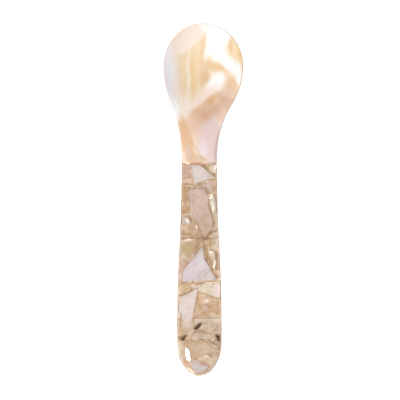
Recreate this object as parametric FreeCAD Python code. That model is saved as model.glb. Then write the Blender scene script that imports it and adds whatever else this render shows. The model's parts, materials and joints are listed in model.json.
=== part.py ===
import FreeCAD, Part
import math
import os
import random
from FreeCAD import Placement, Rotation, Vector

# Caviar spoon: a carved mother-of-pearl bowl and neck, let into a clear resin
# handle that is full of shell chips. It is modelled with the middle plane of the
# handle at z = 0, the tip towards +Y and the bowl centred on x = 0, and is then
# tipped so that the belly of the bowl and the butt of the handle touch z = 0.
# "Along" is the distance back from the tip, in mm.

# Driving dimensions of the whole, in mm
OVERALL_LENGTH = 127.0
SHELL_LENGTH = 49.7
THICKNESS = 5.0
EDGE_RADIUS = 1.65

# Driving dimensions of the bowl, with the turn in degrees of the arcs beside its tip
BOWL_WIDTH = 28.8
BOWL_DEPTH = 5.4
BOWL_WALL = 1.6
BOWL_OFFSET = 1.35
TIP_LENGTH = 15.2
TIP_TURN = 46.4
RIM_EDGE = 1.15
RIM_CHAMFER = 0.35
RIM_FALL = 1.6
SHOULDER_SHARE = 0.42

# Driving dimensions of the neck, the handle and the tang between them, the turn as above
NECK_WIDTH = 12.8
NECK_STRAIGHT = 1.7
NECK_FLAT = 9.5
FLARE_ALONG = 32.0
WAIST_ALONG = 37.0
WAIST_DEPTH = 0.12
HANDLE_WIDTH = 16.3
BUTT_LENGTH = 11.6
BUTT_TURN = 39.7
BUTT_STRAIGHT = 5.4
TANG_LENGTH = 12.0
TANG_WIDTH = 6.4

# Driving dimensions of the chips: clear resin at the sides and over the faces, the gap
# between layers, how far a tilted chip rises, and shares of its size for gap and bevel
RESIN_MARGIN = 0.8
FACE_COVER = 0.45
LAYER_GAP = 0.2
CHIP_RISE = 0.11
CHIP_GAP = 0.03
CHIP_BEVEL = 0.025
CHIP_SEED = 11

# The chips that show through the face. Each corner is a pair of shares in percent:
# across from the middle to the edge of the chips, and along from the seam to the butt.
FACE_CHIPS = (
    ("pearl", "front", ((-58, 1), (5, 1), (100, 7), (39, 8.5), (-2, 9.5), (-36, 11), (-40, 6))),
    ("olive", "under", ((-37, 1), (100, 1), (100, 8.3), (20, 8.5), (-30, 5))),
    ("blush", "under", ((-100, 1), (-37, 1), (-30, 5), (-38, 9.9), (-100, 9.8))),
    ("rose", "front", ((-70, 12), (32, 12), (56, 16), (51, 20), (79, 26), (79, 31), (41, 35), (-53, 25))),
    ("blush", "under", ((-38, 9.9), (-30, 5), (20, 8.5), (100, 8.3), (100, 14), (56, 15.3), (-37, 13.8))),
    ("cream", "front", ((68, 14.5), (96, 16), (99, 23.5), (84, 24.5), (61, 19.5))),
    ("amber", "under", ((-100, 9.8), (-38, 9.9), (-37, 13.8), (-45, 28), (-100, 28.5))),
    ("pearl", "front", ((-98, 25.5), (-66, 25.5), (-46, 28.5), (-99, 29))),
    ("tan", "under", ((-100, 28.5), (-45, 28), (-42, 25), (6, 28), (20, 34.8), (10, 35), (-34, 36), (-100, 34))),
    ("tan", "front", ((-100, 36), (-32, 35), (-6, 36), (-26, 41.5), (-82, 46), (-100, 45.5))),
    ("lilac", "front", ((22, 38), (27, 44.5), (66, 50.5), (95, 55), (-89, 56), (-86, 50), (-34, 44.5))),
    ("amber", "under", ((-34, 36), (10, 35), (64, 35.4), (61, 48), (6, 48.4))),
    ("tan", "under", ((64, 35.4), (100, 35), (100, 55), (61, 50))),
    ("cream", "front", ((57, 41), (84, 41.5), (85, 50.5), (44, 46))),
    ("cream", "under", ((-60, 56.4), (100, 55.2), (100, 64), (68, 62.6), (30, 61.4), (-30, 59.6))),
    ("olive", "under", ((-100, 57.2), (-60, 56.4), (-30, 59.6), (-46, 62.8), (-100, 64.2))),
    ("pearl", "front", ((-100, 62.5), (-4, 58), (-18, 65.5), (-36, 73.5), (-64, 75.5), (-100, 71.5))),
    ("amber", "under", ((-30, 59.6), (30, 61.4), (68, 62.6), (100, 64), (100, 72.5), (-30, 72.5))),
    ("rose", "front", ((9, 67), (30, 66), (56, 68), (40, 70), (14, 69))),
    ("tan", "under", ((-100, 72.8), (-30, 72.5), (-21, 76.2), (-27, 82.6), (-100, 82.6))),
    ("bark", "front", ((-28, 77.8), (4, 74.6), (10, 76.2), (-12, 78.2))),
    ("grey", "front", ((-41, 81.5), (-30, 79.3), (9, 78.5), (25, 80), (4, 83), (-28, 83.5))),
    ("cream", "under", ((-30, 72.5), (100, 72.5), (100, 80.9), (62, 85), (14, 82.7), (-27, 82.6), (-21, 76.2))),
    ("bark", "front", ((77, 80), (100, 81), (100, 83.5), (92, 83.5))),
    ("bark", "front", ((-95, 82.8), (-64, 80.4), (-72, 83.4))),
    ("tan", "under", ((-89, 83), (14, 82.7), (62, 85), (99, 81), (99, 88), (-30, 92), (-69, 92))),
    ("amber", "front", ((35, 82), (61, 84.5), (90, 85.5), (95, 88.5), (45, 86))),
    ("lilac", "front", ((-54, 93), (-14, 91.5), (22, 94.5), (76, 95), (60, 97.5), (-13, 98.5), (-56, 97))),
    ("amber", "front", ((-88, 91.5), (-65, 92.5), (-79, 96), (-94, 95))),
    ("cream", "front", ((4, 91), (25, 93.5), (68, 91), (37, 89))),
    ("blush", "under", ((32, 90.3), (98, 88.2), (97, 95.3), (62, 95.9), (25, 94))),
    ("cream", "under", ((-100, 82.6), (-89, 83), (-69, 92), (-98, 93))),
    ("rose", "under", ((-96, 93.4), (-69, 92.3), (-30, 92.5), (25, 94), (25, 98.4), (-50, 98.4))),
    ("tan", "under", ((25, 94.6), (62, 96), (96, 95.5), (80, 98.4), (25, 98.4))),
    ("cream", "under", ((56, 15.3), (100, 14), (100, 35), (64, 35.4), (20, 34.8), (34, 20))),
    ("blush", "under", ((-100, 34), (-34, 36), (6, 48.4), (-60, 56.4), (-100, 57.2))),
)

# The chips behind them, in rows of two that slant by up to a share of the length
DEEP_ROWS = 5
BACK_ROWS = 6
PAVING_START = 0.01
PAVING_END = 0.985
PAVING_SLANT = 0.04
PAVING_SPLIT = 0.4
PAVING_BULGE = (1 / 3, 2 / 3)
PAVING_TINTS = ("cream", "tan", "pearl", "blush", "amber", "grey")

# The carved surfaces: points taken along and across them, how closely they are followed, how
# far they run on past the shell, and how far they clear the flat faces of the neck at the seam
CARVING_STATIONS = 29
CARVING_COLUMNS = 13
CARVING_DEGREES = (3, 6)
CARVING_TOLERANCE = 0.02
CARVING_OVERRUN = 1.5
CARVING_LIFT = 0.08

# Steps of the search for the resting tilt, and the length below which two places are one
RESTING_STEPS = 6
TOLERANCE = 0.001

# Derived places
TIP_Y = OVERALL_LENGTH / 2
SEAM_Y = TIP_Y - SHELL_LENGTH
HANDLE_LENGTH = OVERALL_LENGTH - SHELL_LENGTH
NECK_START = SHELL_LENGTH - NECK_STRAIGHT
AXIS_X = -BOWL_OFFSET
HALF_BOWL = BOWL_WIDTH / 2
HALF_NECK = NECK_WIDTH / 2
HALF_HANDLE = HANDLE_WIDTH / 2
HALF_THICKNESS = THICKNESS / 2
RIM_TOP = HALF_THICKNESS - RIM_FALL
RIM_BOTTOM = RIM_TOP - RIM_EDGE
KEEL_DEPTH = BOWL_DEPTH + BOWL_WALL - RIM_EDGE
HOLLOW_LENGTH = SHELL_LENGTH - TIP_LENGTH - NECK_FLAT
KEEL_LENGTH = WAIST_ALONG - TIP_LENGTH
NECK_LENGTH = SHELL_LENGTH - TIP_LENGTH
CARVED_OUT = HALF_THICKNESS + CARVING_LIFT
LID = 4 * THICKNESS + 2 * BOWL_DEPTH
BUTT_ALONG = OVERALL_LENGTH - BUTT_LENGTH
FLARE_END = BUTT_ALONG - BUTT_STRAIGHT
NECK_ROUNDING = min(EDGE_RADIUS, 0.35 * THICKNESS)
RIM_BEVEL = min(RIM_CHAMFER, 0.35 * RIM_EDGE)

# Four layers of chips share the depth, and the tang takes the room of the third
LAYER_PITCH = (THICKNESS - 2 * FACE_COVER) / 4
LAYERS = {
    "front": 1.5 * LAYER_PITCH,
    "under": 0.5 * LAYER_PITCH,
    "deep": -0.5 * LAYER_PITCH,
    "back": -1.5 * LAYER_PITCH,
}
CHIP_THICKNESS = LAYER_PITCH - 2 * CHIP_RISE - LAYER_GAP


def ease(share):
    """Smooth step from 0 to 1."""
    share = min(max(share, 0.0), 1.0)
    return share * share * (3 - 2 * share)


def place(x, along, z=0.0):
    """Point at x, a distance back from the tip and a height."""
    return Vector(x, TIP_Y - along, z)


class Bend:
    """Two tangent arcs that carry a side of the plan across from one straight run to the next."""

    def __init__(self, start_x, end_x, start, end, share):
        shift = end_x - start_x
        run = end - start
        radii = (run * run + shift * shift) / (2 * abs(shift))
        self.start_x, self.end_x = start_x, end_x
        self.start, self.end = start, end
        self.joint = start + share * run
        self.first = share * radii
        self.second = radii - self.first
        self.sign = math.copysign(1.0, shift)

    def x_at(self, along):
        """Where the side stands at a place along."""
        if along < self.joint:
            reach = along - self.start
            return self.start_x + self.sign * (self.first - math.sqrt(self.first**2 - reach**2))
        reach = self.end - along
        return self.end_x - self.sign * (self.second - math.sqrt(self.second**2 - reach**2))

    def edges(self):
        """Both arcs."""
        result = []
        for low, high in ((self.start, self.joint), (self.joint, self.end)):
            stops = (low, (low + high) / 2, high)
            result.append(Part.Arc(*[place(self.x_at(along), along) for along in stops]).toShape())
        return result


def round_end(middle, half, along, reach, degrees):
    """Three tangent arcs that close the plan at the tip (reach < 0) or at the butt (reach > 0)."""
    turn = math.radians(degrees)
    spread = (abs(reach) - half) / (math.sin(turn) + math.cos(turn) - 1)
    side_radius = half + spread * math.cos(turn)
    centre = half - side_radius
    edges = []
    corners = []
    for side in (-1, 1):
        stops = []
        for angle in (0.0, turn / 2, turn):
            x = middle + side * (centre + side_radius * math.cos(angle))
            stops.append(place(x, along + math.copysign(side_radius * math.sin(angle), reach)))
        edges.append(Part.Arc(*stops).toShape())
        corners.append(stops[-1])
    edges.append(Part.Arc(corners[0], place(middle, along + reach), corners[1]).toShape())
    return edges


def seam_edge():
    """Straight edge across the plan where the shell meets the handle."""
    return Part.makeLine(*[place(AXIS_X + side * HALF_NECK, SHELL_LENGTH) for side in (-1, 1)])


def prism(edges, bottom, top):
    """Solid with a plan of loose edges between two heights."""
    face = Part.Face(Part.Wire(Part.__sortEdges__(edges)))
    solid = face.extrude(Vector(0, 0, top - bottom))
    solid.translate(Vector(0, 0, bottom))
    return solid


def shell_side(side):
    """Bend of one side of the shell, from the widest line to the neck."""
    return Bend(side * HALF_BOWL, AXIS_X + side * HALF_NECK, TIP_LENGTH, NECK_START, SHOULDER_SHARE)


def handle_side(side):
    """Bend of one side of the handle, from the seam to its widest."""
    return Bend(AXIS_X + side * HALF_NECK, AXIS_X + side * HALF_HANDLE, SHELL_LENGTH, FLARE_END, 0.5)


def shell_middle(along):
    """Middle and half width of the shell at a place along it."""
    if along < TIP_LENGTH:
        return 0.0, HALF_BOWL
    left, right = [shell_side(side).x_at(min(along, NECK_START)) for side in (-1, 1)]
    return (left + right) / 2, (right - left) / 2


def fade(along, length):
    """Share of the full depth that is left at a place behind the widest line."""
    share = min(max(along - TIP_LENGTH, 0.0) / length, 1.0)
    return (1 - share * share) ** 2


def hollow_heights(along):
    """Heights of the hollow at the sides of the shell and at its middle."""
    side = RIM_TOP + (CARVED_OUT - RIM_TOP) * ease((along - TIP_LENGTH) / NECK_LENGTH)
    return side, side - BOWL_DEPTH * fade(along, HOLLOW_LENGTH)


def keel_heights(along):
    """Heights of the keel at the sides of the shell and at its middle, which is thinnest at the waist."""
    flare = ease((along - FLARE_ALONG) / (SHELL_LENGTH - FLARE_ALONG))
    side = RIM_BOTTOM - (RIM_BOTTOM + CARVED_OUT) * flare
    belly = (CARVED_OUT + RIM_BOTTOM - KEEL_DEPTH) * fade(along, KEEL_LENGTH)
    before = ease((along - TIP_LENGTH) / KEEL_LENGTH)
    behind = ease((along - WAIST_ALONG) / (SHELL_LENGTH - WAIST_ALONG))
    waist = (CARVING_LIFT + WAIST_DEPTH) * before * (1 - behind)
    return side, belly + waist - CARVED_OUT


def carved(heights, depth):
    """Surface of the hollow or the keel: a parabola across, whose ends lift towards the tip."""
    reach = HALF_BOWL + CARVING_OVERRUN
    start = -2 * CARVING_OVERRUN
    pitch = (SHELL_LENGTH + CARVING_OVERRUN - start) / (CARVING_STATIONS - 1)
    grid = []
    for station in range(CARVING_STATIONS):
        along = start + pitch * station
        side, floor = heights(along)
        middle, half = shell_middle(along)
        lift = depth * (1 - min(along / TIP_LENGTH, 1.0)) ** 2
        row = []
        for column in range(CARVING_COLUMNS):
            x = reach * (2 * column / (CARVING_COLUMNS - 1) - 1)
            share = (x - middle) / half
            row.append(place(x, along, floor + lift + (side - floor) * share * share))
        grid.append(row)
    least, most = CARVING_DEGREES
    surface = Part.BSplineSurface()
    surface.approximate(
        Points=grid,
        DegMin=least,
        DegMax=most,
        Tolerance=CARVING_TOLERANCE,
    )
    return surface.toShape()


def long_edges(solid):
    """Edges that run round a plate, apart from those on the seam."""
    edges = []
    for edge in solid.Edges:
        box = edge.BoundBox
        upright = max(box.XLength, box.YLength) < TOLERANCE
        on_seam = max(abs(box.YMin - SEAM_Y), abs(box.YMax - SEAM_Y)) < TOLERANCE
        if not upright and not on_seam:
            edges.append(edge)
    return edges


def round_plate(outline):
    """Plate of the full thickness with round edges, apart from those on the seam."""
    plate = prism(outline, -HALF_THICKNESS, HALF_THICKNESS)
    return plate.makeFillet(NECK_ROUNDING, long_edges(plate))


def make_tang():
    """Flat tenon of the shell piece, with its end rounded in plan."""
    half = TANG_WIDTH / 2
    left = AXIS_X - half
    right = AXIS_X + half
    start = SHELL_LENGTH - NECK_STRAIGHT
    end = SHELL_LENGTH + TANG_LENGTH - half
    edges = [
        Part.makeLine(place(left, end), place(left, start)),
        Part.makeLine(place(left, start), place(right, start)),
        Part.makeLine(place(right, start), place(right, end)),
        Part.Arc(place(right, end), place(AXIS_X, end + half), place(left, end)).toShape(),
    ]
    return prism(edges, -LAYER_PITCH, 0.0)


def make_shell():
    """Bowl and neck: the plan carved from above and below, its rim bevelled and its neck rounded."""
    outline = round_end(0.0, HALF_BOWL, TIP_LENGTH, -TIP_LENGTH, TIP_TURN)
    for side in (-1, 1):
        outline.extend(shell_side(side).edges())
        edge_x = AXIS_X + side * HALF_NECK
        outline.append(Part.makeLine(place(edge_x, NECK_START), place(edge_x, SHELL_LENGTH)))
    outline.append(seam_edge())
    over = carved(hollow_heights, BOWL_DEPTH).extrude(Vector(0, 0, LID))
    below = carved(keel_heights, KEEL_DEPTH).extrude(Vector(0, 0, -LID))
    shell = prism(outline, -LID / 2, LID / 2).cut(over).cut(below).Solids[0]
    shell = shell.makeChamfer(RIM_BEVEL, long_edges(shell))
    corner = place(-BOWL_WIDTH, WAIST_ALONG, -LID / 2)
    ahead = Part.makeBox(2 * BOWL_WIDTH, 2 * WAIST_ALONG, LID / 2, corner)
    return shell.common(round_plate(outline).fuse(ahead)).Solids[0]


def make_slab():
    """Whole handle as a rounded slab, before its cavities."""
    outline = round_end(AXIS_X, HALF_HANDLE, BUTT_ALONG, BUTT_LENGTH, BUTT_TURN)
    for side in (-1, 1):
        outline.extend(handle_side(side).edges())
        edge_x = AXIS_X + side * HALF_HANDLE
        outline.append(Part.makeLine(place(edge_x, FLARE_END), place(edge_x, BUTT_ALONG)))
    outline.append(seam_edge())
    return round_plate(outline)


def chip_half_width(along):
    """Half width of the field of chips at a place along the handle."""
    if along > BUTT_ALONG:
        share = (along - BUTT_ALONG) / (BUTT_LENGTH - RESIN_MARGIN)
        return (HALF_HANDLE - RESIN_MARGIN) * math.sqrt(max(1 - share * share, 0.0))
    share = (along - SHELL_LENGTH) / (FLARE_END - SHELL_LENGTH)
    return HALF_NECK - RESIN_MARGIN + (HALF_HANDLE - HALF_NECK) * ease(share)


def chip_corner(across, share):
    """Point of the chip field from a share across and a share of the handle's length."""
    along = SHELL_LENGTH + share * HANDLE_LENGTH
    return place(AXIS_X + across * chip_half_width(along), along)


def make_chip(corners, layer, dice):
    """Thin shell chip with bevelled sides, tilted a little in its layer."""
    centre = sum(corners, Vector()) * (1 / len(corners))
    reach = max(corner.distanceToPoint(centre) for corner in corners)
    wires = []
    for height, scale in ((-0.5, 1 - CHIP_GAP), (0.5, 1 - CHIP_GAP - CHIP_BEVEL)):
        lift = Vector(0, 0, height * CHIP_THICKNESS)
        ring = [centre + (corner - centre) * scale + lift for corner in corners]
        wires.append(Part.makePolygon(ring + ring[:1]))
    chip = Part.makeLoft(wires, True, True)
    turn = dice.uniform(0, 2 * math.pi)
    tilt = math.degrees(CHIP_RISE / reach)
    chip.rotate(centre, Vector(math.cos(turn), math.sin(turn), 0), tilt)
    chip.translate(Vector(0, 0, LAYERS[layer]))
    return chip


def between(first, last):
    """Corners between two others on the edge of the chip field, which bends there."""
    return [tuple(a + (b - a) * share for a, b in zip(first, last)) for share in PAVING_BULGE]


def paving(start, end, rows, dice):
    """Corners, as shares, of the chips that fill a layer in slanting rows of two."""
    pitch = (end - start) / rows
    slants = [0.0] + [dice.uniform(-PAVING_SLANT, PAVING_SLANT) for _ in range(rows - 1)] + [0.0]
    for row in range(rows):
        lines = []
        for line in (row, row + 1):
            level = start + line * pitch
            stops = (-1, dice.uniform(-PAVING_SPLIT, PAVING_SPLIT), 1)
            lines.append([(across, level + slants[line] * across) for across in stops])
        near, far = lines
        yield [near[0], near[1], far[1], far[0]] + between(far[0], near[0])
        yield [near[1], near[2]] + between(near[2], far[2]) + [far[2], far[1]]


def make_chips():
    """All the chips, by name: those seen through the face first, then the paving behind."""
    dice = random.Random(CHIP_SEED)
    chips = {}
    counts = {}

    def add(tint, layer, shares):
        counts[tint] = counts.get(tint, 0) + 1
        corners = [chip_corner(across, along) for across, along in shares]
        chips[f"{tint}_chip_{counts[tint]}"] = make_chip(corners, layer, dice)

    for tint, layer, percents in FACE_CHIPS:
        add(tint, layer, [(across / 100, along / 100) for across, along in percents])
    past_tang = PAVING_START + (TANG_LENGTH + RESIN_MARGIN) / HANDLE_LENGTH
    for layer, start, rows in (("deep", past_tang, DEEP_ROWS), ("back", PAVING_START, BACK_ROWS)):
        for shares in paving(start, PAVING_END, rows, dice):
            add(dice.choice(PAVING_TINTS), layer, shares)
    return chips


def low_point(solid):
    """Lowest height of a solid."""
    return solid.optimalBoundingBox(False, False).ZMin


def resting(bowl, handle):
    """Placement that lays the belly of the bowl and the butt of the handle on z = 0."""
    tilt = 0.0
    run = OVERALL_LENGTH - TIP_LENGTH
    for _ in range(RESTING_STEPS):
        turn = Rotation(Vector(1, 0, 0), math.degrees(tilt))
        levels = []
        for solid in (bowl, handle):
            laid = solid.copy()
            laid.Placement = Placement(Vector(), turn)
            levels.append(low_point(laid))
        tilt += math.atan2(levels[1] - levels[0], run)
    return Placement(Vector(0, 0, -min(levels)), turn)


def main():
    os.makedirs("parts", exist_ok=True)
    tang = make_tang()
    chips = make_chips()
    bowl = make_shell().fuse(tang).removeSplitter().Solids[0]
    slab = make_slab()
    handle = slab.cut([tang] + list(chips.values())).Solids[0]
    rest = resting(bowl, slab)
    nodes = {"bowl": bowl, "handle": handle, **chips}
    for name, solid in nodes.items():
        solid.Placement = rest.multiply(solid.Placement)
        solid.exportStep(f"parts/{name}.step")
    print(len(nodes), "nodes, tilt", round(math.degrees(rest.Rotation.Angle), 2))


main()
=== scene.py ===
"""Caviar spoon: a carved mother-of-pearl bowl and neck, and a clear resin handle full of chips.

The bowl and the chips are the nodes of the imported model. The handle is made again here as one
clear body of resin, of the same form, so that light passes through its outer skin alone. Lengths
are in millimetres where no line says otherwise, and the scene is in metres.
"""

import json
import logging
import math
from dataclasses import dataclass
from enum import Enum

import bmesh
import bpy
from mathutils import Matrix, Vector

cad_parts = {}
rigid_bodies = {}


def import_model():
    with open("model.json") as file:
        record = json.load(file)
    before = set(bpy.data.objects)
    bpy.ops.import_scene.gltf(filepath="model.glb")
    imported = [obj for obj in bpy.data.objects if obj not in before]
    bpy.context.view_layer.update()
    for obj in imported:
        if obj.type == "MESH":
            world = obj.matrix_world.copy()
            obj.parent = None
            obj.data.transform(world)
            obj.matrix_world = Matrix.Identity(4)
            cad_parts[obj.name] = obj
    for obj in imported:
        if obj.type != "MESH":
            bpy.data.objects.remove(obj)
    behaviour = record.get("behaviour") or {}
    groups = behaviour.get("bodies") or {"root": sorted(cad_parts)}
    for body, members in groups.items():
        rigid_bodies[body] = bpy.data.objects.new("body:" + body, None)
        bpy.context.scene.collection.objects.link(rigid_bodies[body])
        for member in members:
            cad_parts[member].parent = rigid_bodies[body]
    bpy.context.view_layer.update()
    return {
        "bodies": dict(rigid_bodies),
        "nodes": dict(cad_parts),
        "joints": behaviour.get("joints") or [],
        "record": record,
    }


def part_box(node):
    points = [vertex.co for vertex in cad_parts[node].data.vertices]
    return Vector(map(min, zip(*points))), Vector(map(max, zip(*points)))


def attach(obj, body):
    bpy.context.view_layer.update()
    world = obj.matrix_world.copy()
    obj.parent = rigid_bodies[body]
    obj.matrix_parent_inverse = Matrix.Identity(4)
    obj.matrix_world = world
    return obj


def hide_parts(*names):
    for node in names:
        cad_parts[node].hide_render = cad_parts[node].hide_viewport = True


LOG = logging.getLogger("caviar_spoon")

MILLIMETRE = 0.001
# Size of a pattern's frame along an axis on which the pattern stays the same.
ENDLESS = 1.0e6
# Distance below which two points of the handle are one.
NEAR = 1.0e-4
# Share of a face's normal on an axis above which the face is square to it.
SQUARE = 0.9999
# Level about which noise swings.
MEAN_NOISE = 0.5

Colour = tuple[float, float, float, float]
Span = tuple[float, float]
Triple = tuple[float, float, float]
Socket = bpy.types.NodeSocket
Feed = Socket | float | tuple[float, ...] | Vector


def shade(code: str) -> Colour:
    """Linear colour for a six-figure colour code.

    Args:
        code: Red, green and blue as two hexadecimal figures each.

    Returns:
        The colour in linear light, with an alpha of one.
    """
    channels = []
    for start in (0, 2, 4):
        value = int(code[start : start + 2], 16) / 255
        channels.append(value / 12.92 if value <= 0.04045 else ((value + 0.055) / 1.055) ** 2.4)
    return (*channels, 1.0)


WHITE = shade("ffffff")


class Blend(Enum):
    """How one colour is laid over another."""

    COVER = "MIX"
    SOFT_LIGHT = "SOFT_LIGHT"


class Bench:
    """One material under work, with short calls for the nodes that the finishes share.

    Attributes:
        material: The material.
        tree: Its nodes.
    """

    # Sockets of a Mix node that mixes colours, which come after those for other kinds.
    MIX_UNDER, MIX_OVER, MIX_RESULT = 6, 7, 2

    def __init__(self, name: str) -> None:
        """Starts an empty material.

        Args:
            name: Name of the material.
        """
        self.material = bpy.data.materials.new(name)
        self.material.use_nodes = True
        self.tree = self.material.node_tree
        self.tree.nodes.clear()

    def node(
        self, kind: str, feeds: dict[str | int, Feed] | None = None, **settings: object
    ) -> bpy.types.Node:
        """Adds a node, sets its properties and feeds its inputs.

        Args:
            kind: Type of the node.
            feeds: What its inputs take, by their names or numbers: outputs or plain values.
            **settings: Properties of the node by name.

        Returns:
            The new node.
        """
        node = self.tree.nodes.new(kind)
        for name, value in settings.items():
            setattr(node, name, value)
        for name, value in (feeds or {}).items():
            if isinstance(value, Socket):
                self.tree.links.new(value, node.inputs[name])
            else:
                node.inputs[name].default_value = value
        return node

    def maths(self, operation: str, *values: Feed) -> Socket:
        """Result of a Math node on values in order."""
        node = self.node("ShaderNodeMath", dict(enumerate(values)), operation=operation)
        return node.outputs["Value"]

    def vector(self, operation: str, *values: Feed) -> Socket:
        """Result of a Vector Math node: a number for a length or a dot product, else a vector."""
        node = self.node("ShaderNodeVectorMath", dict(enumerate(values)), operation=operation)
        return node.outputs["Value" if operation in ("LENGTH", "DOT_PRODUCT") else "Vector"]

    def axis(self, vector: Socket, name: str) -> Socket:
        """Number on one axis of coordinates or of a direction."""
        return self.node("ShaderNodeSeparateXYZ", {"Vector": vector}).outputs[name]

    def mix(self, share: Feed, under: Feed, over: Feed, blend: Blend = Blend.COVER) -> Socket:
        """Lays one colour over another.

        Args:
            share: How much of the upper colour shows.
            under: Colour below.
            over: Colour above.
            blend: How the upper one is laid on.

        Returns:
            The mixed colour.
        """
        feeds = {0: share, self.MIX_UNDER: under, self.MIX_OVER: over}
        node = self.node("ShaderNodeMix", feeds, data_type="RGBA", blend_type=blend.value)
        return node.outputs[self.MIX_RESULT]

    def ramp(
        self, value: Feed, low: float, high: float, start: float = 0.0, end: float = 1.0
    ) -> Socket:
        """Smooth step of a value between two levels.

        Args:
            value: The value.
            low: Level where the step starts.
            high: Level where it ends.
            start: Result at and below the first level.
            end: Result at and above the second.

        Returns:
            The stepped value.
        """
        feeds = {"Value": value, "From Min": low, "From Max": high, "To Min": start, "To Max": end}
        node = self.node("ShaderNodeMapRange", feeds, interpolation_type="SMOOTHSTEP")
        return node.outputs["Result"]

    def millimetres(self) -> Socket:
        """Object coordinates in millimetres."""
        coordinates = self.node("ShaderNodeTexCoord").outputs["Object"]
        feeds = {0: coordinates, "Scale": 1 / MILLIMETRE}
        return self.node("ShaderNodeVectorMath", feeds, operation="SCALE").outputs["Vector"]

    def placed(self, vector: Socket, centre: Vector, size: Vector, turn: float = 0.0) -> Socket:
        """Coordinates seen from a turned frame with its own centre and size.

        Args:
            vector: Coordinates to place.
            centre: Centre of the frame.
            size: Length of each of its axes.
            turn: Turn about the vertical, in degrees.

        Returns:
            The placed coordinates.
        """
        turned = (0.0, 0.0, math.radians(turn))
        feeds = {"Vector": vector, "Location": centre, "Rotation": turned, "Scale": size}
        return self.node("ShaderNodeMapping", feeds, vector_type="TEXTURE").outputs["Vector"]

    def noise(
        self, vector: Socket, scale: float, detail: float = 2.0, roughness: float = 0.5
    ) -> Socket:
        """Smooth noise from nought to one, with so many waves in a unit and finer layers."""
        feeds = {"Vector": vector, "Scale": scale, "Detail": detail, "Roughness": roughness}
        return self.node("ShaderNodeTexNoise", feeds).outputs["Fac"]

    def warped(self, vector: Socket, scale: float, reach: float) -> Socket:
        """Coordinates pushed about by noise.

        Args:
            vector: Coordinates.
            scale: Number of waves of the noise in a unit.
            reach: How far it pushes.

        Returns:
            The warped coordinates.
        """
        noise = self.node("ShaderNodeTexNoise", {"Vector": vector, "Scale": scale})
        centred = self.vector("SUBTRACT", noise.outputs["Color"], (MEAN_NOISE,) * 3)
        return self.vector("MULTIPLY_ADD", centred, (reach / MEAN_NOISE,) * 3, vector)

    def bump(self, height: Socket, depth: float, strength: float = 1.0) -> Socket:
        """Normal of a surface with relief, whose height is in units of so many millimetres."""
        feeds = {"Height": height, "Distance": depth * MILLIMETRE, "Strength": strength}
        return self.node("ShaderNodeBump", feeds).outputs["Normal"]

    def true_normal(self) -> Socket:
        """Direction that a face looks in, before smoothing and relief."""
        return self.node("ShaderNodeNewGeometry").outputs["True Normal"]

    def surface(self, settings: dict[str, Feed]) -> Socket:
        """Output of a Principled shader with these values on its sockets."""
        return self.node("ShaderNodeBsdfPrincipled", settings).outputs["BSDF"]

    def lit_through(self, shader: Socket, tone: str) -> Socket:
        """Lets the lamps through a shader.

        Args:
            shader: Output of the shader.
            tone: Colour that the light takes.

        Returns:
            The shader as rays of light find it.
        """
        passed = self.node("ShaderNodeBsdfTransparent", {"Color": shade(tone)}).outputs["BSDF"]
        shadow = self.node("ShaderNodeLightPath").outputs["Is Shadow Ray"]
        either = self.node("ShaderNodeMixShader", {0: shadow, 1: shader, 2: passed})
        return either.outputs["Shader"]

    def finish(self, shader: Socket) -> bpy.types.Material:
        """Ends the material with a shader."""
        self.node("ShaderNodeOutputMaterial", {"Surface": shader})
        return self.material


@dataclass(frozen=True)
class Patch:
    """Soft oval of colour in the shell; some ovals are painted highlights, painted reflections and
    painted shade.

    Attributes:
        name: What it is.
        across: Its centre to the right of the middle of the bowl.
        along: Its centre back from the tip.
        reach: Half its length and half its width.
        turn: Turn of its length from the across direction, in degrees.
        tone: Its colour.
        softness: Share of the oval over which it fades.
        strength: How much of it shows at its centre.
    """

    name: str
    across: float
    along: float
    reach: Span
    turn: float
    tone: str
    softness: float = 0.5
    strength: float = 1.0

    def share(self, bench: Bench, position: Socket, tip: float) -> Socket:
        """How much of the field shows at each place.

        Args:
            bench: Material under work.
            position: Coordinates in millimetres.
            tip: Where the tip of the spoon lies on the length.

        Returns:
            The share of the field's colour.
        """
        centre = Vector((self.across, tip - self.along, 0.0))
        size = Vector((*self.reach, ENDLESS))
        out = bench.vector("LENGTH", bench.placed(position, centre, size, self.turn))
        return bench.ramp(out, 1 - self.softness, 1 + self.softness, self.strength, 0.0)

    def laid(self, bench: Bench, position: Socket, tip: float, colour: Feed) -> Socket:
        """Lays the field over a colour, at a position in millimetres."""
        return bench.mix(self.share(bench, position, tip), colour, shade(self.tone))


@dataclass(frozen=True)
class Grain:
    """Long fine noise, such as growth layers and cut marks leave in shell.

    Attributes:
        size: Length of its waves on its own three axes.
        turn: Turn of the first axis from the across direction, in degrees.
        detail: Number of finer layers.
        roughness: Strength of the finer layers.
    """

    size: Triple
    turn: float
    detail: float
    roughness: float

    def level(self, bench: Bench, position: Socket) -> Socket:
        """The noise at each position in millimetres, from nought to one."""
        placed = bench.placed(position, Vector(), Vector(self.size), self.turn)
        return bench.noise(placed, scale=1.0, detail=self.detail, roughness=self.roughness)


@dataclass(frozen=True)
class Cloud:
    """Slow drift of the shell's colour.

    Attributes:
        name: What it is.
        tone: Colour that it drifts to.
        waves: Number of its waves in a millimetre.
        detail: Number of finer layers.
        rise: Levels of the noise between which the colour sets in.
        strength: How much of it shows.
        clean_strength: How much of it shows in clean shell.
        flows: Whether it follows the flow of the shell's layers.
    """

    name: str
    tone: str
    waves: float
    detail: float
    rise: Span
    strength: float
    clean_strength: float
    flows: bool = True


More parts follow.
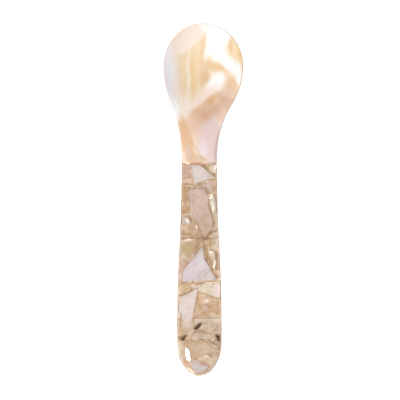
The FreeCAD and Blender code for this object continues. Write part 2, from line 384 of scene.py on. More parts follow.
@dataclass(frozen=True)
class CarvedNacre:
    """Finish of the bowl and the neck: polished mother-of-pearl cut across its growth layers.

    Attributes:
        tip: Where the tip of the spoon lies on the length, from the origin.
        ground: Colour between the fields.
        sway: Waves in a millimetre and reach of the slow flow of the layers.
        waver: The same of their quick flow.
        streaks: The growth layers, seen on edge.
        streak: Their colour.
        streak_rise: Levels between which they set in.
        streak_strength: How much of them shows.
        ripples: Fine ripples across the floor of the bowl.
        ripple_rise: Levels between which they darken it.
        ripple_strength: How much they darken it.
        hatch_rise: Levels between which they turn from dark to light.
        hatch_strength: How much of that shows.
        rim: Colour of the bevel round the bowl.
        gold_rim: Its colour on the right.
        gold_rise: Where it turns to that, from the middle.
        rim_facing: How far a face looks away from the middle of the bowl where the rim sets in.
        rim_end: Where the rim fades out and where it is whole, behind the tip.
        bowl_centre: How far the middle of the bowl lies behind the tip.
        gloss_rise: Levels of the streaks between which the roughness changes.
        roughness: Roughness below and above them.
        relief: Depth of the streaks and the ripples.
        fields: Fields of colour, the lowest first; some of them are painted reflections and
            painted highlights.
        rippled: Where the ripples show, and their colour.
    """

    tip: float
    ground: str = "f5e1cd"
    sway: Span = (0.2, 1.0)
    waver: Span = (0.8, 0.25)
    streaks: Grain = Grain((0.9, 16.0, 5.0), 2, 3.0, 0.55)
    streak: str = "e6c493"
    streak_rise: Span = (0.45, 0.75)
    streak_strength: float = 0.2
    ripples: Grain = Grain((7.0, 0.45, 3.0), -50, 2.0, 0.6)
    ripple_rise: Span = (0.12, 0.4)
    ripple_strength: float = 0.3
    hatch_rise: Span = (0.35, 0.65)
    hatch_strength: float = 0.6
    rim: str = "f0eae6"
    gold_rim: str = "d4b184"
    gold_rise: Span = (3.0, 11.0)
    rim_facing: Span = (0.2, 0.5)
    rim_end: Span = (38.0, 30.0)
    bowl_centre: float = 15.2
    gloss_rise: Span = (0.3, 0.8)
    roughness: Span = (0.3, 0.4)
    relief: float = 0.012
    fields: tuple[Patch, ...] = (
        Patch("peach floor", -3.0, 27.5, (8.5, 8.0), 0, "fae2cf", 0.7),
        Patch("beige column", -3.9, 15.5, (4.6, 10.5), 0, "eed5ae", 0.35),
        Patch("sand streak", -7.3, 17.5, (1.1, 8.0), 0, "efd7b0", 0.6, 0.7),
        Patch("pale streak", -5.2, 17.5, (0.7, 9.5), 0, "f8e7d3", 0.6, 0.8),
        Patch("honey streak", -3.7, 18.5, (1.0, 8.0), 0, "edca97", 0.6, 0.85),
        Patch("amber streak", 0.1, 9.0, (1.1, 5.2), -4, "e4c496", 0.5, 0.9),
        Patch("lilac edge", -15.2, 20.0, (5.4, 16.0), 0, "f5f1f3", 0.4),
        Patch("cream top", -2.5, 3.0, (3.0, 1.8), 10, "f7e9dc", 0.5),
        # Painted reflection: a white field that stands for the soft box's reflection near the tip.
        Patch("painted reflection tip", 1.8, 1.6, (3.8, 1.6), 0, "fefcfa", 0.6, 0.8),
        Patch("rose shoulder", -5.6, 5.6, (6.4, 2.8), 41, "f6e5da", 0.16),
        # Painted reflection: white fields that stand for the soft box's reflection in the upper
        # hollow.
        Patch("painted reflection crown", 5.6, 4.2, (3.9, 4.0), 0, "fffdfc", 0.16),
        Patch("painted reflection body", 4.4, 9.0, (2.9, 4.4), 0, "fffdfc", 0.2),
        Patch("lilac fringe", 1.3, 12.2, (0.7, 3.6), 3, "f3ecf2", 0.5, 0.9),
        # Painted reflection: white fields that stand for a reflection sweeping down the right side
        # of the hollow.
        Patch("painted reflection sweep", 8.6, 13.4, (5.6, 2.0), -50, "fefcfa", 0.4),
        Patch("painted reflection side", 12.6, 18.6, (1.2, 4.4), -4, "fefcfa", 0.35),
        Patch("tan corner", 11.6, 9.4, (4.6, 2.1), -66, "eed6b2", 0.35),
        Patch("tan fold", 9.9, 7.8, (2.4, 0.8), -82, "debc90", 0.6, 0.9),
        Patch("gold corner", 13.2, 12.0, (3.2, 0.8), -72, "e6c892", 0.6, 0.9),
        Patch("brown veil", 3.4, 12.5, (3.0, 1.3), -28, "f4e3cd", 0.9, 0.8),
        Patch("brown wedge", 2.3, 13.0, (1.0, 2.2), -12, "eccfa9", 0.8, 0.8),
        Patch("brown band", 4.1, 15.0, (4.4, 1.6), -22, "e4c194", 0.6),
        Patch("brown hollow", 0.6, 18.5, (1.9, 3.4), -10, "dfb88a", 0.65, 0.9),
        Patch("tan quarter", 9.8, 21.2, (4.6, 2.0), -62, "eac7a0", 0.6),
        Patch("rose side", 7.9, 28.0, (4.2, 3.0), -62, "dfb79c", 0.75),
        Patch("rose slope", 4.6, 31.4, (4.4, 2.4), -56, "dab192", 0.7, 0.8),
        # Painted highlight: a near-white spot and its paler foot laid in the colour of the bowl.
        Patch("painted highlight spot", 5.0, 20.8, (3.8, 2.5), 46, "fffefd", 0.55),
        Patch("painted highlight foot", 2.6, 24.2, (3.5, 1.7), 46, "fcebe0", 0.6, 0.9),
        Patch("peach diagonal", -1.5, 27.2, (5.0, 1.2), 42, "fae3d5", 0.6, 0.8),
        Patch("tan diagonal", 2.0, 28.0, (4.4, 1.5), 44, "dfb484", 0.7),
        Patch("honey diagonal", -2.8, 32.0, (3.6, 1.3), 36, "e9be93", 0.7, 0.9),
        Patch("lemon glow", -7.6, 33.2, (1.6, 1.3), 0, "f6e6c4", 0.6, 0.7),
        # Painted reflection: a pure white field on the lower left of the bowl.
        Patch("painted reflection lower edge", -9.8, 30.4, (4.8, 1.5), -67, "ffffff", 0.45),
        Patch("neck ground", -1.0, 43.5, (8.0, 9.0), 0, "ebd2bb", 0.4),
        Patch("lilac neck", 2.2, 40.5, (4.2, 10.0), 4, "dfc3bd", 0.4),
        Patch("rose foot", -0.1, 33.3, (3.2, 2.2), 38, "d9a67c", 0.8, 0.75),
        Patch("amber slope", 2.6, 31.7, (2.8, 1.7), 42, "cd9a70", 0.8, 0.55),
        Patch("peach shoulder", -3.3, 36.8, (2.4, 3.4), 0, "dfb596", 0.8, 0.7),
        Patch("pale landing", -6.9, 29.4, (2.4, 3.4), 20, "fdf3ea", 0.8, 0.6),
        Patch("violet heart", 0.3, 45.0, (1.5, 3.6), 6, "e8d6da", 0.5, 0.8),
        Patch("orange edge", -5.7, 42.5, (9.5, 2.1), -77, "e0b48c", 0.35),
        Patch("grey inlay", -5.3, 46.2, (0.7, 2.6), 0, "d3bfb3", 0.6, 0.8),
        Patch("sand root", -2.6, 48.9, (3.4, 1.6), 0, "d6b592", 0.5, 0.9),
        Patch("long crack", -2.7, 44.2, (5.0, 0.25), -57, "d3a982", 0.8, 0.5),
        Patch("short crack", -4.4, 42.6, (1.8, 0.25), -48, "d0a47c", 0.8, 0.5),
        Patch("low crack", 0.6, 48.6, (1.6, 0.3), -40, "b99a72", 0.8, 0.7),
    )
    rippled: Patch = Patch("rippled quarter", 4.0, 24.0, (8.0, 7.0), 40, "d9b28c", 0.5, 0.4)

    def material(self) -> bpy.types.Material:
        """Builds the material."""
        bench = Bench("carved nacre")
        position = bench.millimetres()
        flowing = bench.warped(bench.warped(position, *self.sway), *self.waver)
        colour: Feed = shade(self.ground)
        for patch in self.fields:
            colour = patch.laid(bench, flowing, self.tip, colour)
        streaks = self.streaks.level(bench, flowing)
        shown = bench.ramp(streaks, *self.streak_rise, 0.0, self.streak_strength)
        colour = bench.mix(shown, colour, shade(self.streak))
        ripples = self.ripples.level(bench, flowing)
        colour = self._hatched(bench, flowing, ripples, colour)
        gilded = bench.ramp(bench.axis(position, "X"), *self.gold_rise)
        rim = bench.mix(gilded, shade(self.rim), shade(self.gold_rim))
        colour = bench.mix(self._outward(bench, position), colour, rim)
        relief = bench.maths("ADD", streaks, ripples)
        skin = {
            "Base Color": colour,
            "Roughness": bench.ramp(streaks, *self.gloss_rise, *self.roughness),
            "Specular IOR Level": 0.8,
            "Coat Weight": 1.0,
            "Coat Roughness": 0.18,
            "Normal": bench.bump(relief, self.relief, strength=0.5),
        }
        return bench.finish(bench.surface(skin))

    def _hatched(self, bench: Bench, position: Socket, ripples: Socket, colour: Feed) -> Socket:
        """Lays the ripples over the floor of the bowl.

        Args:
            bench: Material under work.
            position: Coordinates in millimetres.
            ripples: The ripples, from nought to one.
            colour: Colour below.

        Returns:
            The rippled colour.
        """
        place = self.rippled.share(bench, position, self.tip)
        strong = bench.maths("MULTIPLY", place, ripples)
        dark = bench.ramp(strong, *self.ripple_rise, 0.0, self.ripple_strength)
        colour = bench.mix(dark, colour, shade(self.rippled.tone))
        hatched = bench.maths("MULTIPLY", place, self.hatch_strength)
        light = bench.ramp(ripples, *self.hatch_rise)
        return bench.mix(hatched, colour, light, Blend.SOFT_LIGHT)

    def _outward(self, bench: Bench, position: Socket) -> Socket:
        """Share of a face that looks away from the middle of the bowl, as its rim does.

        Args:
            bench: Material under work.
            position: Coordinates in millimetres.

        Returns:
            The share, which is nought on the neck.
        """
        away = bench.vector("SUBTRACT", position, (0.0, self.tip - self.bowl_centre, 0.0))
        level = bench.vector("NORMALIZE", bench.vector("MULTIPLY", away, (1.0, 1.0, 0.0)))
        facing = bench.vector("DOT_PRODUCT", bench.true_normal(), level)
        fades, whole = (self.tip - behind for behind in self.rim_end)
        bowl = bench.ramp(bench.axis(position, "Y"), fades, whole)
        return bench.maths("MULTIPLY", bench.ramp(facing, *self.rim_facing), bowl)


class Tint(Enum):
    """Tints of the chips: the colour of the face, and that of the streaks in it."""

    PEARL = ("c5b9b3", "d5cfcd")
    LILAC = ("b8acad", "cac3c7")
    ROSE = ("bda297", "c7b2a3")
    BLUSH = ("bea393", "b59380")
    CREAM = ("c0b29b", "d2c7b8")
    TAN = ("b29572", "c3aa8b")
    AMBER = ("ad8a5f", "bda079")
    OLIVE = ("a9905c", "beab7d")
    GREY = ("b6ac9c", "c9c0b2")
    BARK = ("4c2300", "663608")

    @property
    def label(self) -> str:
        """The tint as the names of its chips and of its finish have it."""
        return self.name.lower()

    @property
    def clean(self) -> bool:
        """Whether such a chip is clean shell, of even colour and without flakes."""
        return self in (Tint.PEARL, Tint.LILAC, Tint.ROSE)


@dataclass
class Seat:
    """Place of the handle in the frame.

    Attributes:
        matrix: From millimetres on the handle's back to the frame.
        seam: Where the handle meets the bowl, on its length.
        butt: Where it ends.
        thickness: How thick it is.
    """

    matrix: Matrix
    seam: float
    butt: float
    thickness: float

    @classmethod
    def from_frame(cls, frame: dict) -> "Seat":
        """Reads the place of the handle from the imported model.


        Returns:
            The place.
        """
        back = next(mount for mount in frame["record"]["mounts"] if mount["name"] == "handle_back")
        up = -Vector(back["axis"]).normalized()
        across = Vector((1.0, 0.0, 0.0))
        axes = Matrix((across, up.cross(across), up)).transposed().to_4x4()
        place = Matrix.Translation(Vector(back["pos_m"])) @ axes @ Matrix.Scale(MILLIMETRE, 4)
        inward = place.inverted()
        corners = [inward @ vertex.co for vertex in frame["nodes"]["handle"].data.vertices]
        lengths = [corner.y for corner in corners]
        return cls(place, max(lengths), min(lengths), max(corner.z for corner in corners))


@dataclass(frozen=True)
class ShellChip:
    """Finish of the chips of one tint: a polished face over warmer broken sides.

    Attributes:
        tint: Tint of the chips.
        tip: Where the tip of the spoon lies on the length, from the origin.
        seat: Place of the handle.
        flow: Waves in a millimetre and reach of the flow of the layers.
        layers: Growth layers that cross the face.
        streak_rise: Levels between which they turn to the colour of the streaks.
        relief: Their depth.
        clouds: Slow drifts of the colour.
        ragged: Waves in a millimetre and reach of the wander of the flakes and the fields.
        buried: Heights above the handle's back between which chips cease to lie under others.
        glow: Painted light: a paler colour on the tops of the chips that do, where the chips above
            shade them.
        painted_light_rise: How far a face looks up where that painted light sets in.
        painted_light_strength: How much of the painted light shows.
        side: Colour of the broken sides.
        side_rise: How far a face looks up or down where they end.
        stain: Colour of those stretches of the sides that are stained.
        stain_waves: Number of those in a millimetre.
        stain_rise: Levels between which they set in.
        within: Colour of the light that a chip lets through to those behind it.
        flake: Colour of the pale flakes.
        flake_waves: Number of them in a millimetre.
        flake_rise: Levels between which they set in.
        flakes: How much of their colour shows.
        vein: Colour of the veins round them.
        vein_reach: How far those reach, in levels of the same noise.
        veins: How much of their colour shows.
        fields: Veins and soft patches that run over the chips near the face, and a painted shade
            under the pearl chip.
        painted_glints: Painted highlights: white flecks in the colour that also glow a little, as
            sparkles of light on the face.
        painted_glint_level: How brightly those painted highlights glow.
    """

    tint: Tint
    tip: float
    seat: Seat
    flow: Span = (0.3, 1.2)
    layers: Grain = Grain((3.2, 0.9, 2.0), 35, 3.0, 0.6)
    streak_rise: Span = (0.35, 0.7)
    relief: float = 0.03
    clouds: tuple[Cloud, ...] = (
        Cloud("warm", "ab8351", 0.25, 2.0, (0.45, 0.7), 0.6, 0.27, False),
        Cloud("pale", "dfd4c6", 0.32, 1.0, (0.5, 0.72), 0.6, 0.27),
        Cloud("cool", "dcd2d6", 0.4, 1.0, (0.5, 0.75), 0.3, 0.3),
    )
    ragged: Span = (1.1, 0.3)
    buried: Span = (2.5, 2.7)
    # Painted light on the tops of chips that lie under others.
    glow: str = "f4e3cd"
    painted_light_rise: Span = (0.5, 0.9)
    painted_light_strength: float = 0.7
    side: str = "dccab4"
    side_rise: Span = (0.75, 0.95)
    stain: str = "a5845f"
    stain_waves: float = 0.22
    stain_rise: Span = (0.45, 0.6)
    within: str = "efe0cc"
    flake: str = "e0cea8"
    flake_waves: float = 0.2
    flake_rise: Span = (-0.01, 0.025)
    flakes: float = 0.24
    vein: str = "9a7a50"
    vein_reach: float = 0.035
    veins: float = 0.55
    fields: tuple[Patch, ...] = (
        Patch("waist shade", 0.5, 74.5, (8.0, 7.0), 0, "94733f", 0.8, 0.2),
        Patch("butt shade", 0.5, 113.5, (8.0, 10.0), 0, "94734c", 0.8, 0.28),
        Patch("white point", -1.0, 53.7, (2.4, 1.6), 0, "d6cecf", 0.7, 0.7),
        # Painted shade: a grey band under the pearl chip, where it shades the chips below.
        Patch("painted shade under pearl", -0.3, 57.6, (1.8, 0.4), 10, "988971", 0.8, 0.6),
        Patch("upper left vein", -5.5, 57.5, (1.7, 0.25), 3, "917b5b", 0.8, 0.7),
        Patch("tan column", -6.0, 62.6, (0.7, 3.5), 0, "b08c68", 0.6, 0.7),
        Patch("olive glaze", 2.0, 60.0, (2.0, 1.2), -30, "a69773", 0.7, 0.6),
        Patch("left vein", -1.7, 73.1, (3.4, 0.4), -61, "9d7b4a", 0.8, 0.8),
        Patch("right vein", 2.5, 75.3, (2.6, 0.35), 39, "8a6232", 0.8, 0.9),
        Patch("dark junction", 0.2, 76.9, (1.4, 0.7), 0, "80582a", 0.8, 0.95),
        Patch("long vein", 1.7, 83.6, (5.6, 0.45), -73, "9a7540", 0.8, 0.85),
        Patch("olive patch", -5.6, 80.4, (1.8, 2.8), -22, "a69561", 0.6, 0.6),
        Patch("olive shore", -5.2, 77.6, (1.3, 0.5), 10, "e8dfca", 0.6, 0.8),
        Patch("upper vein", -5.4, 75.5, (2.2, 0.25), -8, "92703c", 0.8, 0.8),
        Patch("violet corner", -5.1, 90.2, (2.4, 1.3), 10, "c4bbcb", 0.7, 0.6),
        Patch("pale heart", -0.9, 86.6, (1.8, 3.0), 0, "d3ced6", 0.7, 0.6),
        Patch("brown smear", -1.5, 93.6, (2.0, 0.35), 4, "9f7743", 0.8, 0.8),
        Patch("yellow corner", -6.0, 95.2, (1.8, 1.0), 10, "b59d61", 0.7, 0.7),
        Patch("peach hollow", 1.6, 100.2, (2.8, 2.6), 0, "c4a27d", 0.6, 0.6),
        Patch("milky eye", 1.2, 99.8, (0.9, 0.8), 0, "d9cdc1", 0.7, 0.8),
        Patch("rust edge", 5.2, 102.0, (0.6, 3.0), 4, "a87d50", 0.7, 0.7),
        Patch("brown corner", -7.4, 112.9, (1.7, 0.6), 15, "664528", 0.7, 0.8),
        Patch("low vein", 3.5, 116.4, (2.4, 0.35), -43, "886845", 0.8, 0.8),
        Patch("milky slope", -1.0, 117.5, (4.0, 2.6), 0, "c1b39f", 0.7, 0.5),
        Patch("butt vein", 1.3, 120.6, (2.0, 0.22), 32, "917859", 0.8, 0.7),
        Patch("pale shoulder", 3.2, 51.9, (0.8, 1.4), 0, "e2d8cc", 0.5, 0.8),
        Patch("violet sliver", 1.7, 58.2, (1.4, 0.6), -15, "d0c1bf", 0.6, 0.7),
        Patch("lilac sliver", 5.0, 78.5, (0.9, 1.6), 0, "d6cac9", 0.6, 0.7),
        Patch("rust margin", 5.3, 85.4, (0.5, 3.0), 4, "a07a52", 0.7, 0.7),
        Patch("white corner", 4.7, 95.6, (1.4, 1.8), 0, "ded3d1", 0.6, 0.8),
        Patch("brown margin", -7.5, 106.4, (0.5, 2.4), 0, "8f6d49", 0.7, 0.7),
        Patch("grey veil", -5.1, 108.1, (1.6, 1.8), 0, "d2c8c2", 0.7, 0.6),
        Patch("bark root", -1.9, 108.9, (1.9, 0.6), 43, "4c2d14", 0.3),
        Patch("bark end", 5.2, 113.1, (1.6, 0.8), -40, "63401f", 0.35, 0.9),
        Patch("peach foot", -6.2, 122.2, (1.5, 1.1), -40, "cda27e", 0.7, 0.7),
    )
    # Painted highlights: each of these is a white fleck laid in the colour, which also glows a
    # little.
    painted_glints: tuple[Patch, ...] = (
        Patch("top line", 3.9, 51.9, (0.14, 1.4), 0, "fffdf8", 0.5, 0.8),
        Patch("star", 3.1, 61.9, (0.32, 0.7), 0, "fffdf8", 0.5),
        Patch("star arm", 2.3, 62.6, (1.0, 0.15), -8, "fffdf8", 0.6, 0.8),
        Patch("right streak", 3.3, 65.8, (0.18, 1.4), 3, "fffaf0", 0.5),
        Patch("painted highlight patch", -5.6, 71.1, (0.5, 0.7), 30, "f4ecef", 0.6, 0.5),
        Patch("left streak", -2.3, 73.0, (0.14, 0.9), 12, "fbf4ea", 0.6, 0.7),
        Patch("cross gleam", 2.9, 82.1, (0.75, 0.22), 0, "fffdf8", 0.5, 0.9),
        Patch("side streak", 3.8, 86.8, (0.15, 2.0), 0, "fdf8f2", 0.5, 0.8),
        Patch("olive gleam", -5.3, 77.4, (1.0, 0.2), 12, "f2ead8", 0.6, 0.5),
        Patch("eye gleam", 1.4, 99.6, (0.7, 0.3), 10, "f8efe2", 0.8, 0.3),
    )
    painted_glint_level: float = 0.5

    def material(self) -> bpy.types.Material:
        """Builds the material."""
        bench = Bench(f"{self.tint.label} chip")
        position = bench.millimetres()
        flowing = bench.warped(position, *self.flow)
        layers = self.layers.level(bench, flowing)
        face, streak = (shade(code) for code in self.tint.value)
        colour = bench.mix(bench.ramp(layers, *self.streak_rise), face, streak)
        if self.tint is not Tint.BARK:
            colour = self._weathered(bench, position, flowing, colour)
        shine: Feed = 0.0
        # Lays the painted highlights in the colour and gathers where they glow.
        for painted_glint in self.painted_glints:
            share = painted_glint.share(bench, flowing, self.tip)
            colour = bench.mix(share, colour, shade(painted_glint.tone))
            shine = bench.maths("MAXIMUM", shine, share)
        skin = {
            "Base Color": self._sided(bench, position, colour),
            "Roughness": 0.25,
            "Specular IOR Level": 0.0 if self.tint is Tint.BARK else 0.8,
            # The painted highlights glow white by themselves, though the chips are no lamps.
            "Emission Color": WHITE,
            "Emission Strength": bench.maths("MULTIPLY", shine, self.painted_glint_level),
            "Normal": bench.bump(layers, self.relief, strength=0.6),
        }
        bench.material.cycles.emission_sampling = "NONE"
        return bench.finish(bench.lit_through(bench.surface(skin), self.within))

    def _weathered(
        self, bench: Bench, position: Socket, flowing: Socket, colour: Socket
    ) -> Socket:
        """Lays the clouds, the flakes and the fields over the colour of the tint.

        Args:
            bench: Material under work.
            position: Coordinates in millimetres.
            flowing: The same, warped by the flow of the layers.
            colour: Colour below.

        Returns:
            The colour of the face.
        """
        for cloud in self.clouds:
            noise = bench.noise(flowing if cloud.flows else position, cloud.waves, cloud.detail)
            strength = cloud.clean_strength if self.tint.clean else cloud.strength
            shown = bench.ramp(noise, *cloud.rise, 0.0, strength)
            colour = bench.mix(shown, colour, shade(cloud.tone))
        ragged = bench.warped(flowing, *self.ragged)
        if not self.tint.clean:
            colour = self._flaked(bench, ragged, colour)
        for patch in self.fields:
            colour = patch.laid(bench, ragged, self.tip, colour)
        return colour

    def _flaked(self, bench: Bench, position: Socket, colour: Socket) -> Socket:
        """Lays pale flakes with darker veins round them over a colour.

        Args:
            bench: Material under work.
            position: Coordinates in millimetres.
            colour: Colour below.

        Returns:
            The flaked colour.
        """
        level = bench.maths("SUBTRACT", bench.noise(position, self.flake_waves), MEAN_NOISE)
        pale = bench.ramp(level, *self.flake_rise, 0.0, self.flakes)
        colour = bench.mix(pale, colour, shade(self.flake))
        edge = bench.maths("ABSOLUTE", level)
        veins = bench.ramp(edge, 0.0, self.vein_reach, self.veins, 0.0)
        return bench.mix(veins, colour, shade(self.vein))

    def _sided(self, bench: Bench, position: Socket, colour: Socket) -> Socket:
        """Gives the broken sides their colours, and paints light on the tops of buried chips.

        Args:
            bench: Material under work.
            position: Coordinates in millimetres.
            colour: Colour of the face.

        Returns:
            The colour all round the chip.
        """
        upward = bench.axis(bench.true_normal(), "Z")
        stains = bench.noise(position, self.stain_waves, detail=1.0)
        stained = bench.ramp(stains, *self.stain_rise)
        side = bench.mix(stained, shade(self.side), shade(self.stain))
        steep = bench.ramp(bench.maths("ABSOLUTE", upward), *self.side_rise, 1.0, 0.0)
        colour = bench.mix(steep, colour, side)
        # Painted light: tops of chips lying under others are made paler, to lift the shade that
        # the chips above cast on them.
        local = bench.vector("SUBTRACT", position, self.seat.matrix.translation / MILLIMETRE)
        upright = self.seat.matrix.col[2].to_3d().normalized()
        deep = bench.ramp(bench.vector("DOT_PRODUCT", local, upright), *self.buried, 1.0, 0.0)
        top = bench.ramp(upward, *self.painted_light_rise, 0.0, self.painted_light_strength)
        return bench.mix(bench.maths("MULTIPLY", deep, top), colour, shade(self.glow))


@dataclass(frozen=True)
class ClearResin:
    """Finish of the handle: clear casting resin that lets the lamps through to the chips.

    Attributes:
        butt: Middle of the butt's end.
        tone: Colour that light takes in it.
        clearness: Share of the light that passes, past a faint haze.
        waves: Number of the faint waves in a millimetre that hand polishing leaves.
        wave_depth: Their depth.
        dome: How far the face falls away at the edges, as the polishing leaves it.
        dome_start: Where the fall starts, as a share of the way out to the edge.
        dome_reach: Half the width and the length of the butt.
    """

    butt: Vector
    tone: str = "fbf8f6"
    clearness: float = 0.99
    waves: float = 0.14
    wave_depth: float = 0.012
    dome: float = 2.8
    dome_start: float = 0.2
    dome_reach: Span = (8.15, 11.6)

    def material(self) -> bpy.types.Material:
        """Builds the material."""
        bench = Bench("clear resin")
        position = bench.millimetres()
        waves = bench.noise(position, self.waves, detail=1.0)
        wavy = bench.maths("MULTIPLY", waves, self.wave_depth)
        relief = bench.maths("SUBTRACT", wavy, self._fall(bench, position))
        glass = {
            "Base Color": shade(self.tone),
            "Roughness": 0.05,
            "IOR": 1.5,
            "Transmission Weight": self.clearness,
            "Normal": bench.bump(relief, depth=1.0),
        }
        return bench.finish(bench.lit_through(bench.surface(glass), self.tone))

    def _fall(self, bench: Bench, position: Socket) -> Socket:
        """How far the polished face falls away towards the edges.

        Args:
            bench: Material under work.
            position: Coordinates in millimetres.

        Returns:
            The fall, in millimetres.
        """
        centre = self.butt + Vector((0.0, self.dome_reach[1], 0.0))
        local = bench.placed(position, centre, Vector((*self.dome_reach, ENDLESS)))
        held = bench.vector("MINIMUM", local, (ENDLESS, 0.0, ENDLESS))
        past = bench.maths("SUBTRACT", bench.vector("LENGTH", held), self.dome_start)
        out = bench.maths("MAXIMUM", past, 0.0)
        return bench.maths("MULTIPLY", bench.maths("MULTIPLY", out, out), self.dome)


@dataclass
class ResinHandle:
    """The clear handle: a flat slab with round edges that widens from the neck to a round butt.

    Attributes:
        seat: Its place.
        neck_width: Its width at the seam.
        width: Its width above the butt.
        butt_length: Length of the round butt.
        butt_turn: Turn of the arc that leads into the butt, in degrees.
        butt_straight: Length of the straight sides above the butt.
        edge_radius: Radius of the long edges.
        lap: How far the handle's end reaches into the bowl.
        rim: Width of the flat rim along the round edges.
        arc_steps: Edges in an arc of the plan.
        edge_steps: Facets across a round edge.
    """

    seat: Seat
    neck_width: float = 12.8
    width: float = 16.3
    butt_length: float = 11.6
    butt_turn: float = 39.7
    butt_straight: float = 5.4
    edge_radius: float = 1.65
    lap: float = 0.05
    rim: float = 0.12
    arc_steps: int = 14
    edge_steps: int = 9

    def build(self) -> bpy.types.Object:
        """Makes the handle and puts it in place.

        Returns:
            The handle's object.
        """
        bm = bmesh.new()
        self._outline(bm)
        floor = bmesh.ops.contextual_create(bm, geom=bm.edges[:])["faces"]
        raised = bmesh.ops.extrude_face_region(bm, geom=floor)["geom"]
        lifted = [item for item in raised if isinstance(item, bmesh.types.BMVert)]
        bmesh.ops.translate(bm, vec=(0.0, 0.0, self.seat.thickness), verts=lifted)
        bmesh.ops.recalc_face_normals(bm, faces=bm.faces[:])
        self._round_edges(bm)
        self._lap_into_bowl(bm)
        bmesh.ops.transform(bm, matrix=self.seat.matrix, verts=bm.verts[:])
        mesh = bpy.data.meshes.new("resin_handle")
        bm.to_mesh(mesh)
        bm.free()
        mesh.shade_smooth()
        handle = bpy.data.objects.new("resin_handle", mesh)
        bpy.context.scene.collection.objects.link(handle)
        return handle

    def dress(self, handle: bpy.types.Object) -> None:
        """Gives the handle its finish and its place in the model.

        Args:
            handle: The handle's object.
        """
        butt = self.seat.matrix @ Vector((0.0, self.seat.butt, 0.0)) / MILLIMETRE
        handle.data.materials.append(ClearResin(butt).material())
        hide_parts("handle")
        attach(handle, "root")

    def _outline(self, bm: bmesh.types.BMesh) -> None:
        """Draws the plan of the handle as one closed run of edges.

        Args:
            bm: Mesh that takes the plan.
        """
        neck = self.neck_width / 2
        half = self.width / 2
        butt_start = self.seat.butt + self.butt_length
        flare_end = butt_start + self.butt_straight
        run = self.seat.seam - flare_end
        shift = half - neck
        flare_radius = (run**2 + shift**2) / (4 * shift)
        flare_turn = math.asin(run / 2 / flare_radius)
        turn = math.radians(self.butt_turn)
        spread = (self.butt_length - half) / (math.sin(turn) + math.cos(turn) - 1)
        side_radius = half + spread * math.cos(turn)
        start = bmesh.ops.create_vert(bm, co=(neck, self.seat.seam, 0.0))["vert"][0]
        at = self._arc(bm, start, (neck + flare_radius, self.seat.seam), flare_turn)
        at = self._arc(bm, at, (half - flare_radius, flare_end), -flare_turn)
        drawn = bmesh.ops.extrude_vert_indiv(bm, verts=[at])["verts"]
        bmesh.ops.translate(bm, vec=(0.0, butt_start - flare_end, 0.0), verts=drawn)
        at = self._arc(bm, drawn[0], (half - side_radius, butt_start), -turn)
        self._arc(bm, at, (0.0, butt_start - spread * math.sin(turn)), turn - math.pi / 2)
        everything = bm.verts[:] + bm.edges[:]
        bmesh.ops.mirror(bm, geom=everything, axis="X", merge_dist=NEAR)
        ends = [vert for vert in bm.verts if len(vert.link_edges) == 1]
        bmesh.ops.contextual_create(bm, geom=ends)

    def _arc(
        self, bm: bmesh.types.BMesh, start: bmesh.types.BMVert, centre: Span, turn: float
    ) -> bmesh.types.BMVert:
        """Runs an arc on from a point.

        Args:
            bm: Mesh that takes the arc.
            start: Point where it starts.
            centre: Centre of the arc.
            turn: Turn of the arc, in radians.

        Returns:
            The point where it ends.
        """
        spun = bmesh.ops.spin(
            bm,
            geom=[start],
            cent=(*centre, 0.0),
            axis=(0.0, 0.0, 1.0),
            angle=turn,
            steps=self.arc_steps,
            use_duplicate=False,
        )
        return next(item for item in spun["geom_last"] if isinstance(item, bmesh.types.BMVert))

    def _round_edges(self, bm: bmesh.types.BMesh) -> None:
        """Rounds the long edges and keeps the flat faces flat with a narrow rim.

        Args:
            bm: Mesh of the plain slab.
        """
        flats = [face for face in bm.faces if abs(face.normal.z) > SQUARE]
        seam = self.seat.seam
        long_edges = []
        for edge in [edge for face in flats for edge in face.edges]:
            if not all(abs(vert.co.y - seam) < NEAR for vert in edge.verts):
                long_edges.append(edge)
        bmesh.ops.bevel(
            bm,
            geom=long_edges,
            offset=self.edge_radius,
            offset_type="OFFSET",
            affect="EDGES",
            segments=self.edge_steps,
            profile=0.5,
            material=-1,
            clamp_overlap=False,
        )
        bm.normal_update()
        flats = [face for face in bm.faces if abs(face.normal.z) > SQUARE]
        bmesh.ops.inset_individual(bm, faces=flats, thickness=self.rim, depth=0.0)

    def _lap_into_bowl(self, bm: bmesh.types.BMesh) -> None:
        """Carries the end of the handle a hair into the bowl, so that no two faces share a plane.

        Args:
            bm: Mesh of the rounded slab.
        """
        bm.normal_update()
        end = [face for face in bm.faces if face.normal.y > SQUARE]
        bmesh.ops.inset_individual(bm, faces=end, thickness=self.lap, depth=0.0)
        tips = {vert for face in end for vert in face.verts}
        bmesh.ops.translate(bm, vec=(0.0, self.lap, 0.0), verts=list(tips))


@dataclass
class ShellParts:
    """The carved bowl and the chips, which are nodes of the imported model.

    Attributes:
        nodes: All nodes by name.
        seat: Place of the handle.
    """

    nodes: dict[str, bpy.types.Object]
    seat: Seat

    def dress(self) -> None:
        """Gives the bowl and every chip its finish."""
        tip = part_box("bowl")[1].y / MILLIMETRE
        self._paint(self.nodes["bowl"], CarvedNacre(tip).material())
        for tint in Tint:
            finish = ShellChip(tint, tip, self.seat).material()
            mark = f"{tint.label}_chip_"
            chips = [node for name, node in self.nodes.items() if name.startswith(mark)]
            for chip in chips:
                self._paint(chip, finish)
            LOG.info("%s chips: %d", tint.label, len(chips))

    def _paint(self, node: bpy.types.Object, finish: bpy.types.Material) -> None:
        """Puts one finish on all of a node."""
        node.data.materials.clear()
        node.data.materials.append(finish)


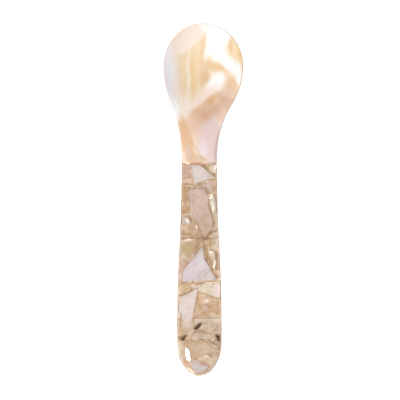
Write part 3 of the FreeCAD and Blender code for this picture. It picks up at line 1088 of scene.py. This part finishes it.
@dataclass
class Studio:
    """White floor, a soft box, a pale ceiling, white surroundings and a camera straight above.

    Sizes and places are in metres, apart from the centre.

    Attributes:
        centre: Middle of the picture, in millimetres.
        camera_height: Height of the camera.
        lens: Its focal length in millimetres.
        sensor: Width of its sensor in millimetres.
        floor_size: Side of the floor.
        box_centre: Middle of the soft box.
        box_size: Its width and its length.
        box_power: Its power in watts.
        surround: Strength of the surroundings.
        ceiling_level: How bright the ceiling is.
        ceiling_height: Its height.
        ceiling_size: Its side.
        floor_shade: How much light the floor gives back.
        floor_glow: How much the floor shines by itself to the camera and through the resin.
        floor_through: Colour of that shine through the resin.
    """

    centre: Span = (-1.08, 0.14)
    camera_height: float = 0.405
    lens: float = 100.0
    sensor: float = 36.0
    floor_size: float = 6.0
    box_centre: Triple = (-0.27, -0.3, 0.5)
    box_size: Span = (0.12, 0.17)
    box_power: float = 3.4
    surround: float = 0.47
    ceiling_level: float = 0.35
    ceiling_height: float = 1.6
    ceiling_size: float = 3.0
    floor_shade: float = 0.8
    floor_glow: float = 0.85
    floor_through: str = "b8a89e"

    def build(self) -> None:
        """Sets up the whole studio."""
        self._floor()
        self._surroundings()
        self._lamps()
        self._camera()
        bpy.context.scene.view_settings.view_transform = "Standard"

    def _floor(self) -> None:
        """Lays a white floor that keeps the shadow of the spoon."""
        bm = bmesh.new()
        bmesh.ops.create_grid(bm, x_segments=1, y_segments=1, size=self.floor_size / 2)
        mesh = bpy.data.meshes.new("floor")
        bm.to_mesh(mesh)
        bm.free()
        floor = bpy.data.objects.new("floor", mesh)
        bpy.context.scene.collection.objects.link(floor)
        bench = Bench("white floor")
        paint = bench.node("ShaderNodeBsdfDiffuse", {"Color": (*(self.floor_shade,) * 3, 1.0)})
        rays = bench.node("ShaderNodeLightPath").outputs
        tone = bench.mix(rays["Is Camera Ray"], shade(self.floor_through), WHITE)
        seen = bench.maths("MAXIMUM", rays["Is Camera Ray"], rays["Is Transmission Ray"])
        strength = bench.maths("MULTIPLY", seen, self.floor_glow)
        glow = bench.node("ShaderNodeEmission", {"Color": tone, "Strength": strength})
        feeds = {0: paint.outputs["BSDF"], 1: glow.outputs["Emission"]}
        both = bench.node("ShaderNodeAddShader", feeds).outputs["Shader"]
        mesh.materials.append(bench.finish(both))

    def _surroundings(self) -> None:
        """Fills the room with even white light."""
        world = bpy.data.worlds.new("studio")
        world.use_nodes = True
        background = world.node_tree.nodes["Background"]
        background.inputs["Color"].default_value = WHITE
        background.inputs["Strength"].default_value = self.surround
        bpy.context.scene.world = world

    def _lamps(self) -> None:
        """Hangs the soft box over the left side, and a pale ceiling."""
        ceiling = (self.ceiling_size, self.ceiling_size)
        power = self.ceiling_level * math.pi * self.ceiling_size**2
        self._panel("soft box", self.box_centre, self.box_size, self.box_power)
        self._panel("ceiling", (0.0, 0.0, self.ceiling_height), ceiling, power)

    def _panel(self, name: str, centre: Triple, size: Span, power: float) -> None:
        """Hangs one lit panel that faces down.

        Args:
            name: Name of the lamp.
            centre: Middle of the panel.
            size: Its width and its length.
            power: Its power in watts.
        """
        lamp = bpy.data.lights.new(name, "AREA")
        lamp.shape = "RECTANGLE"
        lamp.size, lamp.size_y = size
        lamp.energy = power
        holder = bpy.data.objects.new(name, lamp)
        holder.location = centre
        bpy.context.scene.collection.objects.link(holder)

    def _camera(self) -> None:
        """Hangs the camera straight above the middle of the picture."""
        data = bpy.data.cameras.new("camera")
        data.lens = self.lens
        data.sensor_width = self.sensor
        camera = bpy.data.objects.new("camera", data)
        across, along = self.centre
        camera.location = (across * MILLIMETRE, along * MILLIMETRE, self.camera_height)
        bpy.context.scene.collection.objects.link(camera)
        bpy.context.scene.camera = camera


def main() -> None:
    """Builds the spoon and the studio round it."""
    logging.basicConfig(level=logging.INFO, format="%(name)s: %(message)s")
    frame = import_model()

    seat = Seat.from_frame(frame)
    ShellParts(frame["nodes"], seat).dress()

    handle = ResinHandle(seat)
    piece = handle.build()
    handle.dress(piece)
    LOG.info("resin handle: %d faces", len(piece.data.polygons))

    Studio().build()


if __name__ == "__main__":
    main()
